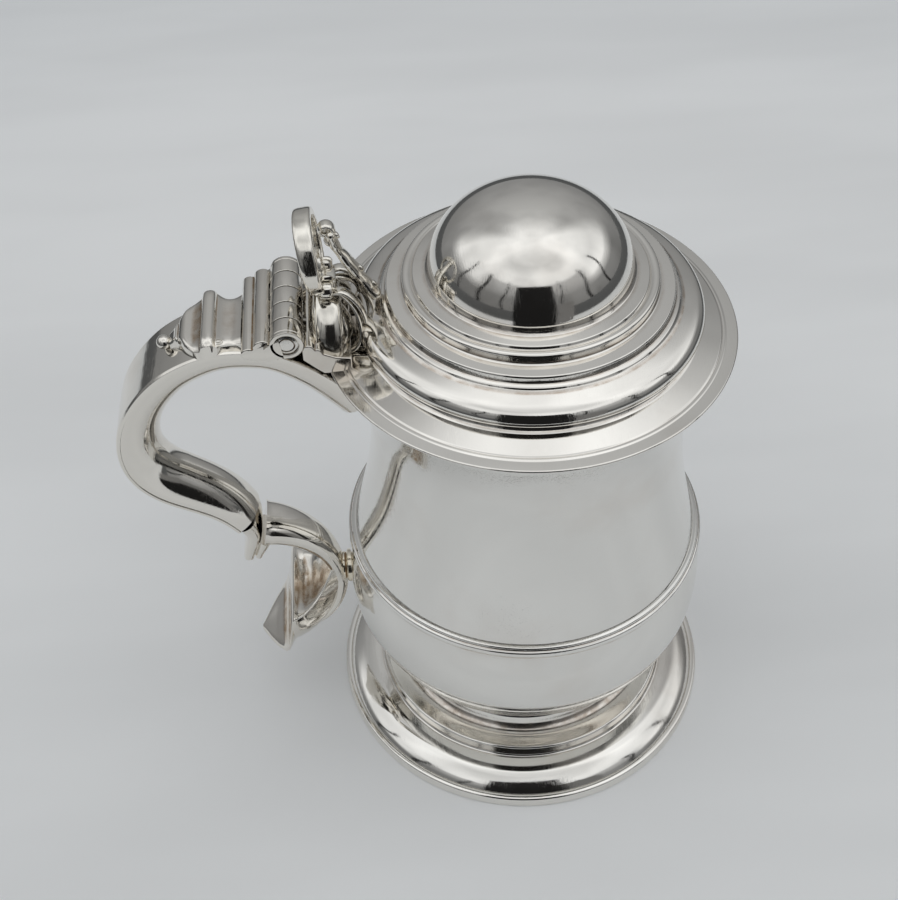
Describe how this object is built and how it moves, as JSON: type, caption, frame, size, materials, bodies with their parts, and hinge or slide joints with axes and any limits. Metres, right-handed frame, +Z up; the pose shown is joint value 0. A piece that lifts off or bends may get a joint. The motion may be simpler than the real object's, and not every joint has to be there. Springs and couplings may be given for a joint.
{
  "type": "lidded tankard",
  "caption": "Polished baluster tankard with a stepped domed lid on a barrel hinge, scroll thumbpiece, girdle moulding, spreading foot and hollow double-scroll handle.",
  "frame": {"origin": "centre of the foot on the surface that the tankard stands on", "axes": "+Z up along the body's axis; the handle is towards -X; the hinge pin runs along Y"},
  "size_m": [0.1829, 0.125, 0.1994],
  "materials": {
    "polished_metal": "hand-polished silvery white metal with fine scratches and faint tarnish",
    "handle_metal": "polished silvery metal, a little warmer, with light tarnish in its hollows",
    "cast_metal": "cast silvery metal, polished on its high parts and brown-black in its recesses",
    "pin_metal": "dull silvery metal with worn file marks"
  },
  "bodies": {
    "tankard": {"body_shell": "polished_metal", "mouth_moulding": "polished_metal", "girdle_band": "polished_metal", "foot_collar": "polished_metal", "foot_shell": "polished_metal", "foot_wire": "polished_metal", "handle_strap": "handle_metal", "handle_channel": "handle_metal", "handle_spur": "handle_metal", "lower_scroll": "handle_metal", "scroll_heel": "handle_metal", "terminal_shield": "handle_metal", "lower_socket": "handle_metal", "handle_drop": "polished_metal", "drop_bead": "polished_metal", "hinge_block": "polished_metal", "fixed_knuckle_front": "polished_metal", "fixed_knuckle_middle": "polished_metal", "fixed_knuckle_back": "polished_metal", "hinge_pin": "pin_metal", "pin_cap_front": "pin_metal", "pin_cap_back": "pin_metal"},
    "lid": {"lid_cover": "polished_metal", "lid_bezel": "polished_metal", "lid_leaf": "polished_metal", "lid_knuckle_front": "polished_metal", "lid_knuckle_back": "polished_metal", "thumb_base": "cast_metal", "thumb_loop": "cast_metal", "thumb_strut": "cast_metal"}
  },
  "joints": [
    {"name": "lid_hinge", "type": "hinge", "parent": "tankard", "child": "lid", "pos_m": [-0.0668, 0, 0.1688], "axis": [0, -1, 0], "range_deg": [0, 100]}
  ]
}
